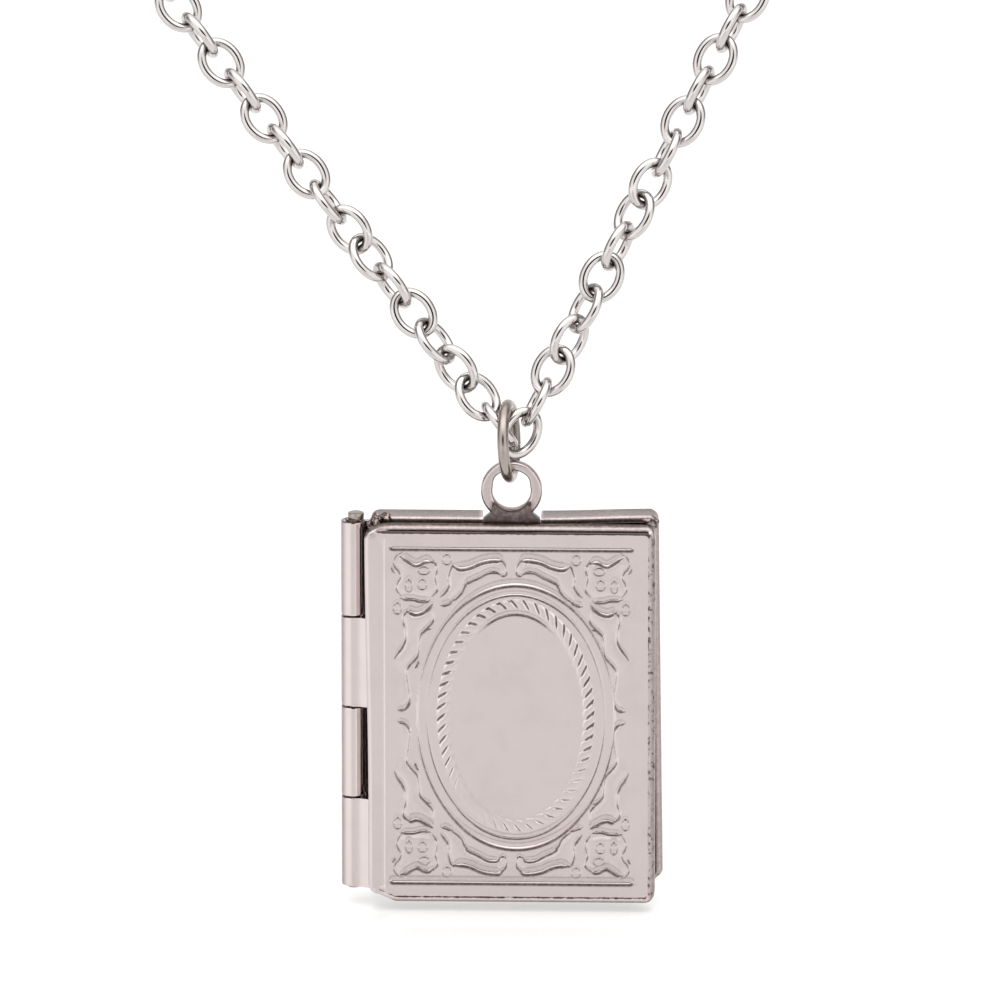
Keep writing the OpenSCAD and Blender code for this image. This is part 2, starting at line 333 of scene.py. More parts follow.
def rect_ring(x0, x1, inset):
    """Points (x, z) of the case's rounded outline, drawn in by inset, in step with any other inset."""
    x0, x1, half_z, r = x0 + inset, x1 - inset, HALF_Z - inset, max(CORNER_R - inset, LEAST_R)
    corners = [(x1 - r, half_z - r), (x0 + r, half_z - r), (x0 + r, -half_z + r), (x1 - r, -half_z + r)]
    counts = [round((COVER_X1 - COVER_X0) / RIM_STEP), round(2 * HALF_Z / RIM_STEP)]
    points = []
    for k, (cx, cz) in enumerate(corners):
        for a in angles(90 * k, 90 * k + 90, CORNER_STEPS):
            points.append((cx + r * cos(a), cz + r * sin(a)))
        nxt = corners[(k + 1) % 4]
        end = (nxt[0] + r * cos(a), nxt[1] + r * sin(a))
        points += np.linspace(points[-1], end, counts[k % 2], endpoint=False)[1:].tolist()
    return np.array(points)


def level_ring(x0, x1, inset, y):
    """The same outline as points (x, y, z), all at one depth."""
    return np.insert(rect_ring(x0, x1, inset), 1, y, axis=1)


def corner_arc(n0, y0, n1, y1, steps, first="y"):
    """A quarter round between two profile points (inset, y); first says which value moves first."""
    out = []
    for a in angles(0, 90, steps):
        u, v = (1 - cos(a), sin(a)) if first == "y" else (sin(a), 1 - cos(a))
        out.append((n0 + (n1 - n0) * u, y0 + (y1 - y0) * v))
    return out


def swept_rect(x0, x1, profile):
    """Points and quads of a profile (inset, y) that runs round the case's outline."""
    rings = [level_ring(x0, x1, inset, y) for inset, y in profile]
    return np.concatenate(rings), grid_faces(len(rings), len(rings[0]), flip=True)


def prism(outline, z0, z1):
    """Points and faces of an outline (x, y) drawn out from z0 to z1."""
    n = len(outline)
    points = [(x, y, z) for z in (z0, z1) for x, y in outline]
    faces = [[k, (k + 1) % n, n + (k + 1) % n, n + k] for k in range(n)]
    return np.array(points), faces + caps(n, 2 * n)


def lathe(profile, axis_at, along, steps):
    """A turned shape: profile is (radius, distance along), about a line along a unit vector."""
    along = Vector(along).normalized()
    side = along.orthogonal().normalized()
    up = along.cross(side)
    points = []
    for radius, d in profile:
        for a in angles(0, 360, steps)[:-1]:
            points.append(Vector(axis_at) + along * d + (side * cos(a) + up * sin(a)) * radius)
    return np.array(points), grid_faces(len(profile), steps)


def oval(half_x, half_y, steps):
    """Points round an oval in the xy plane."""
    return [(half_x * cos(a), half_y * sin(a), 0) for a in angles(0, 360, steps)[:-1]]


def tube(centre, radius, around, closed=True):
    """A round wire of that radius along centreline points, with its rings square to the line."""
    c = np.asarray(centre, float)
    n = len(c)
    ahead = np.roll(c, -1, 0) - np.roll(c, 1, 0)
    if not closed:
        ahead[0], ahead[-1] = c[1] - c[0], c[-1] - c[-2]
    ahead /= np.linalg.norm(ahead, axis=1)[:, None]
    normal = np.array([0.0, 0.0, 1.0])
    side = np.cross(ahead, normal)
    side /= np.linalg.norm(side, axis=1)[:, None]
    a = np.array(angles(0, 360, around)[:-1])[:, None]
    points = c[:, None] + radius * (np.cos(a) * side[:, None] + np.sin(a) * normal)
    return points.reshape(-1, 3), grid_faces(n, around, wrap_rows=closed)


def join(parts):
    """Several (points, faces) as one."""
    points, faces, base = [], [], 0
    for p, f in parts:
        points.append(np.asarray(p, float))
        faces += [[int(v) + base for v in face] for face in f]
        base += len(p)
    return np.concatenate(points), faces


# Materials

class Graph:
    """The nodes of a material or a world, with short ways to add to them."""

    def __init__(self, tree):
        self.nodes = tree.nodes
        self.link = tree.links.new

    def add(self, kind, inputs, **settings):
        """A new node with its settings, and with each input set to a value or linked to a socket."""
        node = self.nodes.new("ShaderNode" + kind)
        for key, value in settings.items():
            setattr(node, key, value)
        for key, value in inputs.items():
            if isinstance(value, bpy.types.NodeSocket):
                self.link(value, node.inputs[key])
            else:
                node.inputs[key].default_value = value
        return node

    def math(self, kind, *values):
        """A sum, product or other function of one or two numbers or sockets."""
        return self.add("Math", dict(enumerate(values)), operation=kind).outputs[0]

    def ranged(self, value, low, high, out_low, out_high):
        """A value's soft step from out_low at low to out_high at high."""
        inputs = {"Value": value, "From Min": low, "From Max": high, "To Min": out_low, "To Max": out_high}
        return self.add("MapRange", inputs, interpolation_type="SMOOTHSTEP").outputs["Result"]

    def mixed(self, factor, a, b):
        """A colour between two colours or sockets, by the Mix node's own numbers for its colour sockets."""
        return self.add("Mix", {0: factor, 6: a, 7: b}, data_type="RGBA").outputs[2]

    def noise(self, coord, scale, detail, roughness):
        """Cloudy noise at places of the object's own space."""
        inputs = {"Vector": coord, "Scale": scale, "Detail": detail, "Roughness": roughness}
        return self.add("TexNoise", inputs).outputs["Fac"]

    def attribute(self, name):
        """The value that the mesh's points carry under that name."""
        return self.add("Attribute", {}, attribute_name=name).outputs["Fac"]


def new_material(name):
    """A material, the graph of its nodes and its shader."""
    material = bpy.data.materials.new(name)
    material.use_nodes = True
    graph = Graph(material.node_tree)
    return material, graph, graph.nodes["Principled BSDF"]


def plated(name, colour, darker, dark, rough, grain):
    """Plated metal: soft cloudy variation of colour, fine grain, and dark brown painted shade and patina,
    with dark spots of tarnish and of painted shade.
    """
    material, graph, shader = new_material(name)
    shader.inputs["Metallic"].default_value = 1.0
    coord = graph.add("TexCoord", {}).outputs["Object"]
    clouds = graph.noise(coord, CLOUD_SCALE, 5, 0.6)
    specks = graph.noise(coord, SPECK_SCALE, 3, 0.6)
    patches = graph.noise(coord, PATCH_SCALE, 5, 0.7)
    base = graph.mixed(graph.ranged(clouds, *CLOUDED, 0, CLOUD_SHARE), colour, darker)
    # The points' painted shade and patina, broken by fine specks, and dark spots of tarnish and of painted
    # shade
    shade_and_patina = graph.attribute("shade_and_patina")
    darkening = graph.math("MULTIPLY", shade_and_patina, graph.ranged(specks, 0.3, 0.6, 0.75, 1.0))
    uneven = graph.math("MULTIPLY", graph.math("SUBTRACT", patches, 0.5), PATCH_CONTRAST)
    spots = graph.math("ADD", graph.attribute("spots_and_shade"), uneven)
    darkening = graph.math("MAXIMUM", darkening, graph.ranged(spots, SPOT_FROM, SPOT_FULL, 0.0, SPOT_DARK))
    graph.link(graph.mixed(darkening, base, dark), shader.inputs["Base Color"])
    roughness = graph.math("ADD", graph.ranged(clouds, 0.3, 0.7, *rough),
                           graph.math("MULTIPLY", shade_and_patina, DARKENED_ROUGH))
    graph.link(roughness, shader.inputs["Roughness"])
    bump = graph.add("Bump", {"Strength": 1.0, "Distance": grain * MM, "Height": specks})
    graph.link(bump.outputs["Normal"], shader.inputs["Normal"])
    return material


# Each metal's colour, its duller cloud tone, and the dark brown of its painted shade and patina
SILVER = plated("locket_plate", (0.62, 0.55, 0.538, 1), (0.55, 0.475, 0.46, 1), (0.075, 0.043, 0.038, 1),
                rough=(0.13, 0.2), grain=0.003)
BRIGHT = plated("chain_plate", (0.56, 0.53, 0.52, 1), (0.5, 0.47, 0.46, 1), (0.1, 0.08, 0.07, 1),
                rough=(0.07, 0.13), grain=0.001)
NICKEL = plated("ring_nickel", (0.36, 0.315, 0.29, 1), (0.28, 0.24, 0.215, 1), (0.05, 0.03, 0.025, 1),
                rough=(0.16, 0.26), grain=0.004)


# Relief: each groove is a chain of points (x, z) from the relief's middle and its half width.
# They are those of the upper right quarter, and the other quarters mirror it.
GROOVES = [
    (0.27, [(4.05, 10.95), (3.65, 10.85), (3.3, 10.85), (2.75, 11.0), (2.1, 11.3), (1.4, 11.45),
            (0.9, 11.45), (0.62, 11.3)]),
    (0.12, [(0.7, 11.35), (0.45, 11.1), (0.35, 10.75), (0.38, 10.4), (0.55, 10.25), (0.8, 10.35)]),
    (0.19, [(0.8, 10.35), (1.1, 10.55), (1.65, 10.5), (2.25, 10.18), (2.95, 9.83), (3.25, 9.55)]),
    (0.13, [(3.1, 9.7), (3.3, 9.4), (3.45, 9.05), (3.8, 8.65), (4.3, 8.3)]),
    (0.18, [(4.15, 8.38), (4.5, 8.18), (4.9, 8.08)]),
    (0.14, [(4.1, 11.0), (4.25, 10.7), (4.4, 10.05), (4.37, 9.5), (4.6, 9.05), (4.9, 8.7)]),
    (0.12, [(8.32, 10.75), (8.15, 10.42)]),
    (0.24, [(7.7, 11.62), (7.4, 11.5), (7.05, 11.27), (6.7, 11.08), (6.4, 11.12), (6.1, 11.3),
            (5.8, 11.33), (5.5, 11.2)]),
    (0.13, [(5.45, 11.33), (5.2, 10.95), (5.2, 10.6), (5.3, 10.15), (5.2, 9.55), (5.2, 9.15),
            (5.5, 8.72)]),
    (0.19, [(7.7, 8.58), (7.3, 8.54), (6.8, 8.52), (6.35, 8.4), (5.95, 8.4), (5.68, 8.5)]),
    (0.09, [(7.6, 11.92), (8.05, 11.6), (8.2, 11.2), (8.1, 10.85), (7.82, 10.5), (7.72, 10.1),
            (7.92, 9.7), (8.0, 9.35), (7.92, 9.05), (7.7, 8.75)]),
    (0.26, [(7.25, 7.62), (7.0, 7.62), (6.7, 7.52), (6.3, 7.6), (5.9, 7.85), (5.55, 8.15)]),
    (0.15, [(7.1, 7.64), (7.4, 7.5), (7.52, 7.2), (7.5, 6.8), (7.4, 6.3), (7.4, 5.6), (7.6, 5.05),
            (7.9, 4.6), (8.15, 4.15)]),
    (0.13, [(5.45, 7.85), (5.45, 7.35), (5.5, 6.9), (5.75, 6.55), (6.1, 6.2), (6.33, 5.9),
            (6.42, 5.45), (6.45, 5.0), (6.55, 4.4), (6.75, 4.1), (7.1, 3.7), (7.3, 3.25),
            (7.2, 2.25), (7.1, 1.35), (7.2, 0.85)]),
    (0.17, [(7.1, 1.2), (7.2, 0.82), (7.5, 0.5), (7.9, 0.42)]),
    (0.15, [(6.5, 3.95), (6.7, 3.5)]),
    (0.12, [(6.25, 6.0), (5.9, 6.3), (5.6, 6.38)]),
]
# Dimples: middle and half sizes
DIMPLES = [(6.1, 10.6, 0.36, 0.28), (7.15, 9.55, 0.22, 0.42), (6.2, 9.6, 0.3, 0.36),
           (4.5, 11.42, 0.3, 0.36), (7.95, 7.85, 0.26, 0.4)]
# Outlines of the raised parts inside the grooves: the two leaves and the corner flower
LEAF_TOP = [(4.1, 11.0), (3.3, 10.85), (2.1, 11.3), (0.9, 11.45), (0.35, 10.75), (0.55, 10.25),
            (1.65, 10.5), (2.95, 9.83), (3.45, 9.05), (4.3, 8.3), (4.9, 8.15), (4.6, 9.05),
            (4.4, 10.05)]
LEAF_SIDE = [(7.3, 7.6), (6.7, 7.52), (5.9, 7.85), (5.45, 8.1), (5.45, 7.35), (5.5, 6.9),
             (6.33, 5.9), (6.45, 5.0), (6.75, 4.1), (7.3, 3.25), (7.1, 1.35), (7.5, 0.5),
             (7.9, 0.42), (7.9, 3.0), (8.15, 4.15), (7.4, 5.6), (7.5, 6.8)]
FLOWER = [(8.15, 11.0), (7.95, 11.65), (7.5, 11.7), (6.75, 11.25), (5.7, 11.45), (5.2, 10.8),
          (5.3, 10.15), (5.2, 9.3), (5.5, 8.72), (6.35, 8.55), (7.8, 8.75), (8.05, 9.5),
          (7.75, 10.3)]


def curve_points(points, steps=5):
    """A smooth curve through the points."""
    p = np.array(points, float)
    p = np.concatenate([[2 * p[0] - p[1]], p, [2 * p[-1] - p[-2]]])
    t = np.arange(steps)[:, None] / steps
    out = [0.5 * (2 * b + (c - a) * t + (2 * a - 5 * b + 4 * c - d) * t ** 2
                  + (3 * b - a - 3 * c + d) * t ** 3) for a, b, c, d in zip(p, p[1:], p[2:], p[3:])]
    return np.concatenate(out + [p[-2:-1]])


def line_distance(x, z, line):
    """Distance of each point to a chain of points, how far along the chain it is, 0 to 1, and whether it
    lies over the chain, 1, or under it, -1."""
    nearest = np.full((3,) + x.shape, np.inf)
    count = len(line) - 1
    for k in range(count):
        ax, az = line[k]
        dx, dz = line[k + 1] - line[k]
        t = np.clip(((x - ax) * dx + (z - az) * dz) / (dx * dx + dz * dz + TINY), 0, 1)
        d = np.hypot(x - ax - t * dx, z - az - t * dz)
        here = np.stack([d, (k + t) / count, (z - az - t * dz) / (d + TINY)])
        nearest = np.where(d < nearest[0], here, nearest)
    return nearest


def inside(x, z, outline):
    """True for the points inside a closed outline."""
    found = np.zeros(x.shape, bool)
    n = len(outline)
    for k in range(n):
        ax, az = outline[k]
        bx, bz = outline[(k + 1) % n]
        crosses = (az > z) != (bz > z)
        at = ax + (z - az) * (bx - ax) / (bz - az + TINY)
        found ^= crosses & (x < at)
    return found


def groove(d, half, above):
    """Depth of a groove with a sharp bottom and rounded rims at a distance d from its line, and the painted
    shade on its wall: the upper wall is wider and lightly shaded, the lower wall is shaded by its rim, and
    the others have a thin shaded line at their rim."""
    t = np.clip(1 - d / (half * (1 + UPPER_WIDER * np.clip(above, 0, 1))), 0, 1)
    facing_up = -above * GROOVE_SLOPE * t
    darker = smooth(facing_up / 0.16) * (1 - smooth((facing_up - 0.42) / 0.16)) + 0.2 * smooth(-facing_up / 0.3)
    darker += RIM_LINE_SHADE * np.exp(-((t - RIM_AT) / RIM_W) ** 2) * (1 - smooth(-above / 0.6))
    return GROOVE_SLOPE / 2 * half * t * t, darker


def oval_distance(x, z, axes):
    """Signed distance to an oval round the medallion's middle, above 0 outside it."""
    u = (x - OVAL_X) / axes[0]
    w = (z - RELIEF_Z) / axes[1]
    f = np.hypot(u, w) + TINY
    return (f - 1) / (np.hypot(u / axes[0], w / axes[1]) / f + TINY)


def oval_groove(x, z, axes, half):
    """Depth and painted shade of a groove along an oval, narrower where it runs upright, then the signed
    distance to it and its depth at the bottom."""
    d = oval_distance(x, z, axes)
    u = (x - OVAL_X) / axes[0] ** 2
    w = (z - RELIEF_Z) / axes[1] ** 2
    level = w / (np.hypot(u, w) + TINY)
    half = half * (OVAL_UPRIGHT + (1 - OVAL_UPRIGHT) * smooth((np.abs(level) - 0.5) / 0.5))
    depth, darker = groove(np.abs(d), half, np.sign(d) * level)
    return (depth, darker), d, GROOVE_SLOPE / 2 * half


def deepest(marks, other):
    """The deeper and the darker of two pairs of depth and painted shade."""
    return [np.maximum(a, b) for a, b in zip(marks, other)]


def raised_parts(u, v):
    """Height of the leaves and the flower."""
    h = np.zeros(u.shape)
    for outline in (LEAF_TOP, LEAF_SIDE, FLOWER):
        loop = curve_points(outline + outline[:1], 4)
        d, _, _ = line_distance(u, v, loop)
        h += np.where(inside(u, v, loop), RAISED * smooth(d / RAISED_EDGE), 0)
    return h * ((v > 0.1) & (u > 0.1))


def field_height(x, z):
    """Height of the stamped relief outside the ovals, and how much painted shade darkens each point."""
    u = np.abs(x - RELIEF_X)
    v = np.abs(z - RELIEF_Z)
    turned = np.sign(z - RELIEF_Z)
    marks = (np.zeros(x.shape), np.zeros(x.shape))
    for half, points in GROOVES:
        d, at, above = line_distance(u, v, curve_points(points))
        taper = 0.45 + 0.55 * smooth(np.minimum(at, 1 - at) / 0.16)
        marks = deepest(marks, groove(d, half * taper * GROOVE_WIDER, above * turned))
    for cx, cz, rx, rz in DIMPLES:
        r = np.hypot((u - cx) / rx, (v - cz) / rz)
        over = np.sign(r - 1) * (v - cz) / (rz * r + TINY)
        deep, shade = groove(np.abs(r - 1) * min(rx, rz), DIMPLE_GROOVE, over * turned)
        marks = deepest(marks, (deep, shade * DIMPLE_SHADE))
    # The frame: two clear level lines, and two faint upright ones
    side, end = u - FRAME_X, np.abs(z - FRAME_MIDDLE) - FRAME_Z
    off = np.hypot(np.clip(side + FRAME_SHORT, 0, None), end)
    marks = deepest(marks, groove(off, FRAME_GROOVE, end / (off + TINY) * turned))
    deep, _ = groove(np.hypot(side, np.clip(end, 0, None)), FRAME_GROOVE, np.zeros(x.shape))
    marks = deepest(marks, (deep * FRAME_SIDE, 0))
    (deep, shade), d, bottom = oval_groove(x, z, OUTER, OUTER_GROOVE)
    depth, darker = deepest(marks, (np.where(d > 0, deep, bottom - GROOVE_SLOPE * d), shade))
    height = raised_parts(u, v) - depth
    return height, np.clip(darker * WALL_SHADE + DEEP_SHADE * smooth(depth / 0.1), 0, 1)


def strip_drop(x):
    """How far the plain strip by the hinge lies behind the face."""
    return STRIP_DROP * smooth((STRIP_X - x) / STRIP_STEP)


def cover_field(name, z_low, z_high):
    """Half of the stamped face outside the ovals."""
    step = 0.047
    xs = np.linspace(COVER_X0 + FIELD_INSET, COVER_X1 - FIELD_INSET,
                     round((COVER_X1 - COVER_X0 - 2 * FIELD_INSET) / step))
    zs = np.linspace(z_low, z_high, round((z_high - z_low) / step))
    z, x = np.meshgrid(zs, xs, indexing="ij")
    h, darker = field_height(x, z)
    y = FRONT_Y + strip_drop(x) - h
    points = np.stack([x, y, z], 2).reshape(-1, 3)
    faces = grid_faces(len(zs), len(xs), wrap_cols=False)
    out = (oval_distance(x, z, OUTER) > -0.13).ravel()
    faces = faces[out[faces].any(1)]
    used = np.unique(faces)
    index = np.zeros(len(points), int)
    index[used] = np.arange(len(used))
    make(name, points[used], index[faces], SILVER, "cover", "front_cover",
         shade_and_patina=darker.ravel()[used])


def medallion_rings():
    """Half sizes of the medallion's ovals, from its middle out to the stamped field."""
    rings = [(ROPE_IN[0] * k, ROPE_IN[1] * k) for k in np.linspace(0.02, 0.93, 12)]
    spans = [(tuple(0.93 * v for v in ROPE_IN), ROPE_IN, 7), (ROPE_IN, ROPE_OUT, 26),
             (ROPE_OUT, SECOND, 12), (SECOND, OUTER, 14),
             (OUTER, tuple(v + 0.06 for v in OUTER), 2)]
    for low, high, count in spans:
        rings += [tuple(near + (far - near) * k / count for near, far in zip(low, high))
                  for k in range(1, count + 1)]
    return np.array(rings)


def rope(a, x, z):
    """Height, depth and painted shade of the rope's strands at angles round the oval and places on it."""
    # Strand number of each place: even steps along the rope's own length, slanted inwards and clockwise
    fine_a = np.linspace(0, 2 * np.pi, 2001)
    mid = (np.array(ROPE_IN) + np.array(ROPE_OUT)) / 2
    run = np.concatenate([[0], np.cumsum(np.hypot(np.diff(mid[0] * np.cos(fine_a)),
                                                  np.diff(mid[1] * np.sin(fine_a))))])
    pitch = run[-1] / STRANDS
    d_in = oval_distance(x, z, ROPE_IN)
    d_out = oval_distance(x, z, ROPE_OUT)
    across = np.clip(d_in / (d_in - d_out + TINY), 0, 1)
    slant = tan(radians(STRAND_ANGLE)) * (ROPE_OUT[0] - ROPE_IN[0])
    phase = (np.interp(a, fine_a, run) + slant * (0.5 - across)) / pitch
    gap = np.abs(phase - np.round(phase)) * pitch * cos(radians(STRAND_ANGLE))
    on_rope = smooth(across / 0.3) * smooth((1 - across) / 0.3)
    # Each gap between strands is a short pit near the rope's outer side, painted dark as shade
    sharpness = 1 - sum(much * np.exp(-((np.degrees(a) - at) / wide) ** 2) for at, wide, much in RUBBED)
    pit = sharpness * smooth((across - 0.12) / 0.4) * smooth((1 - across) / 0.2)
    pit = pit * STRAND_PIT * np.clip(1 - gap / STRAND_PIT_HALF, 0, 1) ** 1.6
    faint = STRAND_LINE * np.clip(1 - gap / STRAND_LINE_HALF, 0, 1) ** 2
    faint = faint * smooth(across / 0.25) * smooth((1 - across) / 0.2) * (0.4 + 0.6 * sharpness)
    height = STRAND_HIGH * on_rope * (0.2 + 0.8 * sharpness)
    return height, np.maximum(pit, faint), 0.95 * smooth((pit - 0.02) / 0.025)


def medallion():
    """The plain oval with its rope and its two grooves, as rings of points."""
    around = 1040
    a = 2 * np.pi * np.arange(around) / around
    rings = medallion_rings()
    x = OVAL_X + rings[:, :1] * np.cos(a)
    z = RELIEF_Z + rings[:, 1:] * np.sin(a)
    height, pits, rope_shade = rope(a, x, z)
    # The groove inside the rope shows only at the top, and the outer one runs on into the stamped field
    top = smooth((np.sin(a) - 0.78) / 0.17)
    (deep, shade), _, _ = oval_groove(x, z, ROPE_IN, THIN_GROOVE)
    marks = deepest((pits, 0), (deep * top, 1.15 * shade * top))
    marks = deepest(marks, oval_groove(x, z, SECOND, THIN_GROOVE)[0])
    (deep, shade), d, bottom = oval_groove(x, z, OUTER, OUTER_GROOVE)
    depth, darker = deepest(marks, (np.where(d < 0, deep, bottom + GROOVE_SLOPE * d), shade))
    points = np.stack([x, FRONT_Y - (height - depth), z], 2).reshape(-1, 3)
    faces = grid_faces(len(rings), around, flip=True).tolist()
    faces.append(list(range(around)))
    # The rope's pits and the grooves' walls carry painted shade
    make("cover_medallion", points, faces, SILVER, "cover", "front_cover",
         shade_and_patina=np.clip(np.maximum(rope_shade, WALL_SHADE * darker), 0, 1))


def top_edge():
    """The cover's top edge as (inset, y): a small nose, the ledge painted dark as shade, and the bead."""
    nose = [(PLATE_TOP - PLATE_NOSE * sin(a), FRONT_Y + PLATE_NOSE * (1 - cos(a))) for a in angles(0, 90, 3)]
    bead = [(BEAD_IN - BEAD_R * sin(a), BEAD_Y - BEAD_R * cos(a)) for a in angles(BEAD_FROM, BEAD_TO, 14)]
    ledge = PLATE_TOP - PLATE_NOSE
    foot_in, foot_y = bead[0]
    return nose + [(ledge, FRONT_Y + 0.2), (ledge + (foot_in - ledge) * 0.8, foot_y - 0.12),
                   (foot_in, foot_y - 0.02)] + bead


def nose_size(flat):
    """The way out from each place of the outline, and the front edge's radius there."""
    low = np.array([COVER_X0 + CORNER_R, CORNER_R - HALF_Z])
    high = np.array([COVER_X1 - CORNER_R, HALF_Z - CORNER_R])
    out = flat - np.clip(flat, low, high)
    out /= np.linalg.norm(out, axis=1)[:, None]
    along_x, along_z = out.T
    size = (np.where(along_x > 0, NOSE_RIGHT, NOSE_LEFT) * along_x ** 2
            + np.where(along_z > 0, PLATE_TOP, NOSE_BOTTOM) * along_z ** 2)
    return out, size


def edge_ring(rim, out, inset, y):
    """The outline drawn in by an inset, at a depth, both of which may differ from place to place."""
    return np.insert(rim - out * inset[:, None], 1, y, axis=1)


def cover_edge(rim):
    """Rings of the cover's margin, rounded edge and side wall, and how spotted each point is with painted
    shade.
    """
    out, size = nose_size(rim)
    # How much each place belongs to each side. The bead fades out at the corner by the hinge
    begun = smooth((rim[:, 0] - COVER_X0 - 0.2) / 0.9)
    upper = smooth((out[:, 1] - 0.6) / 0.3) * begun
    at_top = smooth((out[:, 1] - 0.3) / 0.6) * begun
    right = smooth((out[:, 0] - 0.6) / 0.3)
    lower = smooth((-out[:, 1] - 0.6) / 0.3)
    rings = []
    spots = []
    # The flat margin between the stamped field and the edge
    for k in range(MARGIN_STEPS + 1):
        near = (MARGIN - size) * (1 - k / MARGIN_STEPS)
        rings.append(edge_ring(rim, out, size + near, FRONT_Y + 0.002))
        # Spots of painted shade by the top edge, the right side and the bottom
        spots.append(upper * (1 - np.clip(near / 0.13, 0, 1))
                     + right * MARGIN_SPOTS * (1 - smooth(near / 0.1))
                     + lower * LOWER_SPOTS * (1 - smooth(near / 0.08)))
    # The edge itself: a rounded nose and a plain wall, and over the top a ledge with its bead
    edge = top_edge()
    for k, (top_in, top_y) in enumerate(edge):
        turned = min(k / NOSE_STEPS, 1)
        a = radians(90 * turned)
        inset = size * (1 - sin(a))
        y = FRONT_Y + size * (1 - cos(a))
        if k > NOSE_STEPS:
            y = y + (FRONT_RIM - 0.1 - y) * (k - NOSE_STEPS) / (len(edge) - NOSE_STEPS - 1)
        rings.append(edge_ring(rim, out, inset + (top_in - inset) * at_top, y + (top_y - y) * at_top))
        # Spots of painted shade under the bead, on the right side and along the bottom
        on_nose = 1 - smooth((turned - 0.9) / 0.1)
        below = LOWER_SPOTS * (1 - smooth(turned / 0.3)) + 0.58 * smooth((turned - 0.45) / 0.3)
        spots.append(upper * (1 - smooth((k - 7) / 2)) + right * (RIGHT_SPOTS + 0.1 * on_nose)
                     + lower * below)
    profile = [(0.1, FRONT_RIM)]
    profile += corner_arc(WALL - 0.08, FRONT_RIM, WALL, FRONT_RIM - 0.08, 3, first="x")
    profile += [(WALL, FRONT_Y + WALL + 0.3), (WALL + 0.1, FRONT_Y + WALL + 0.05),
                (WALL + 0.4, FRONT_Y + WALL)]
    for inset, y in profile:
        rings.append(level_ring(COVER_X0, COVER_X1, inset, y))
        # Spots of painted shade on the rim and inside
        spots.append(INSIDE_SPOTS + right * 0.15)
    return rings, spots


def bend_cover(x, y, z):
    """Moves the shell's points in place as its sheet is bent."""
    y += strip_drop(x) * (1 - smooth((y - FRONT_Y) / 0.9))
    z -= COVER_LOWER * smooth((-z - HALF_Z + 0.9) / 0.8)
    lean = COVER_LEAN * smooth((z + HALF_Z / 2) / (1.5 * HALF_Z))
    x -= lean * smooth((COVER_X0 + 0.7 - x) / 0.6) * (y < FRONT_RIM - 0.01)
    # The hinge strip ends a little above the bottom edge, with a slanted corner
    cut_off = CUT_Z * np.clip((CUT_X[1] - x) / (CUT_X[1] - CUT_X[0]), 0, 1)
    z += cut_off * smooth((-z - HALF_Z + 1.2) / 1.0)


def cover_shade(x, y, z):
    """How much painted shade darkens the shell at each point, with its upper left corner darker, and how much
    more spotted it is at its bead and upper left corner.
    """
    front = y < FRONT_RIM - 0.15
    on_bead = smooth((z - HALF_Z - 0.02) / 0.06)
    behind = smooth((y - BEAD_Y + 0.26) / 0.1)
    on_stripe = smooth((z - HALF_Z + 0.16) / 0.05) * (y > FRONT_Y + 0.5)
    corner = smooth((COVER_X0 + 0.75 - x) / 0.5) * smooth((z - HALF_Z + 0.7) / 0.4) * front
    shade_and_patina = np.where(front, RIGHT_SHADE * smooth((x - COVER_X1 + 0.6) / 0.4), RIM_SHADE)
    shade_and_patina += (BEAD_SHADE + BEAD_BACK_SHADE * behind) * on_bead
    shade_and_patina = np.where(front, np.maximum(shade_and_patina, STRIPE_SHADE * on_stripe), shade_and_patina)
    shade_and_patina += LOWER_SHADE * smooth((-z - HALF_Z + 0.2) / 0.2) * front + CORNER_DARK * corner
    return np.clip(shade_and_patina, 0, 1), CORNER_SPOTS * corner + BEAD_SPOTS * on_bead


def cover_shell():
    """The front cover's rounded edge, side wall, rim and inside."""
    rim = rect_ring(COVER_X0, COVER_X1, 0)
    rings = [level_ring(COVER_X0, COVER_X1, inset, FRONT_Y + 0.004) for inset in (1.1, 0.75, 0.66)]
    spots_and_shade = [np.zeros(len(rim)) for _ in rings]
    edge, spots = cover_edge(rim)
    points = np.concatenate(rings + edge)
    faces = grid_faces(len(rings + edge), len(rim), flip=True).tolist()
    faces.append(caps(len(rim), len(points))[1][::-1])
    bend_cover(*points.T)
    # Painted shade on the rim, inside, right side, bead, ledge and bottom
    shade_and_patina, more_spots = cover_shade(*points.T)
    make("cover_shell", points, faces, SILVER, "cover", "front_cover", shade_and_patina=shade_and_patina,
         spots_and_shade=np.concatenate(spots_and_shade + spots) + more_spots, sharp=50)


def rolled_tube(z0, z1):
    """A knuckle of rolled sheet with softened ends."""
    soft = BARREL_SOFT
    steps = 56
    end = [(BORE_R, 0.02), (BORE_R + soft, 0), (BARREL_R - soft, 0), (BARREL_R - soft * 0.3, soft * 0.3),
           (BARREL_R, soft), (BARREL_R, soft + 0.03)]
    profile = [(r, z0 + d) for r, d in end] + [(r, z1 - d) for r, d in end[::-1]]
    points, faces = lathe(profile, (HINGE_X, HINGE_Y, 0), (0, 0, 1), steps)
    inner = grid_faces(2, steps)
    inner = np.where(inner >= steps, inner - steps, inner + (len(profile) - 1) * steps)
    return points, np.concatenate([faces, inner])


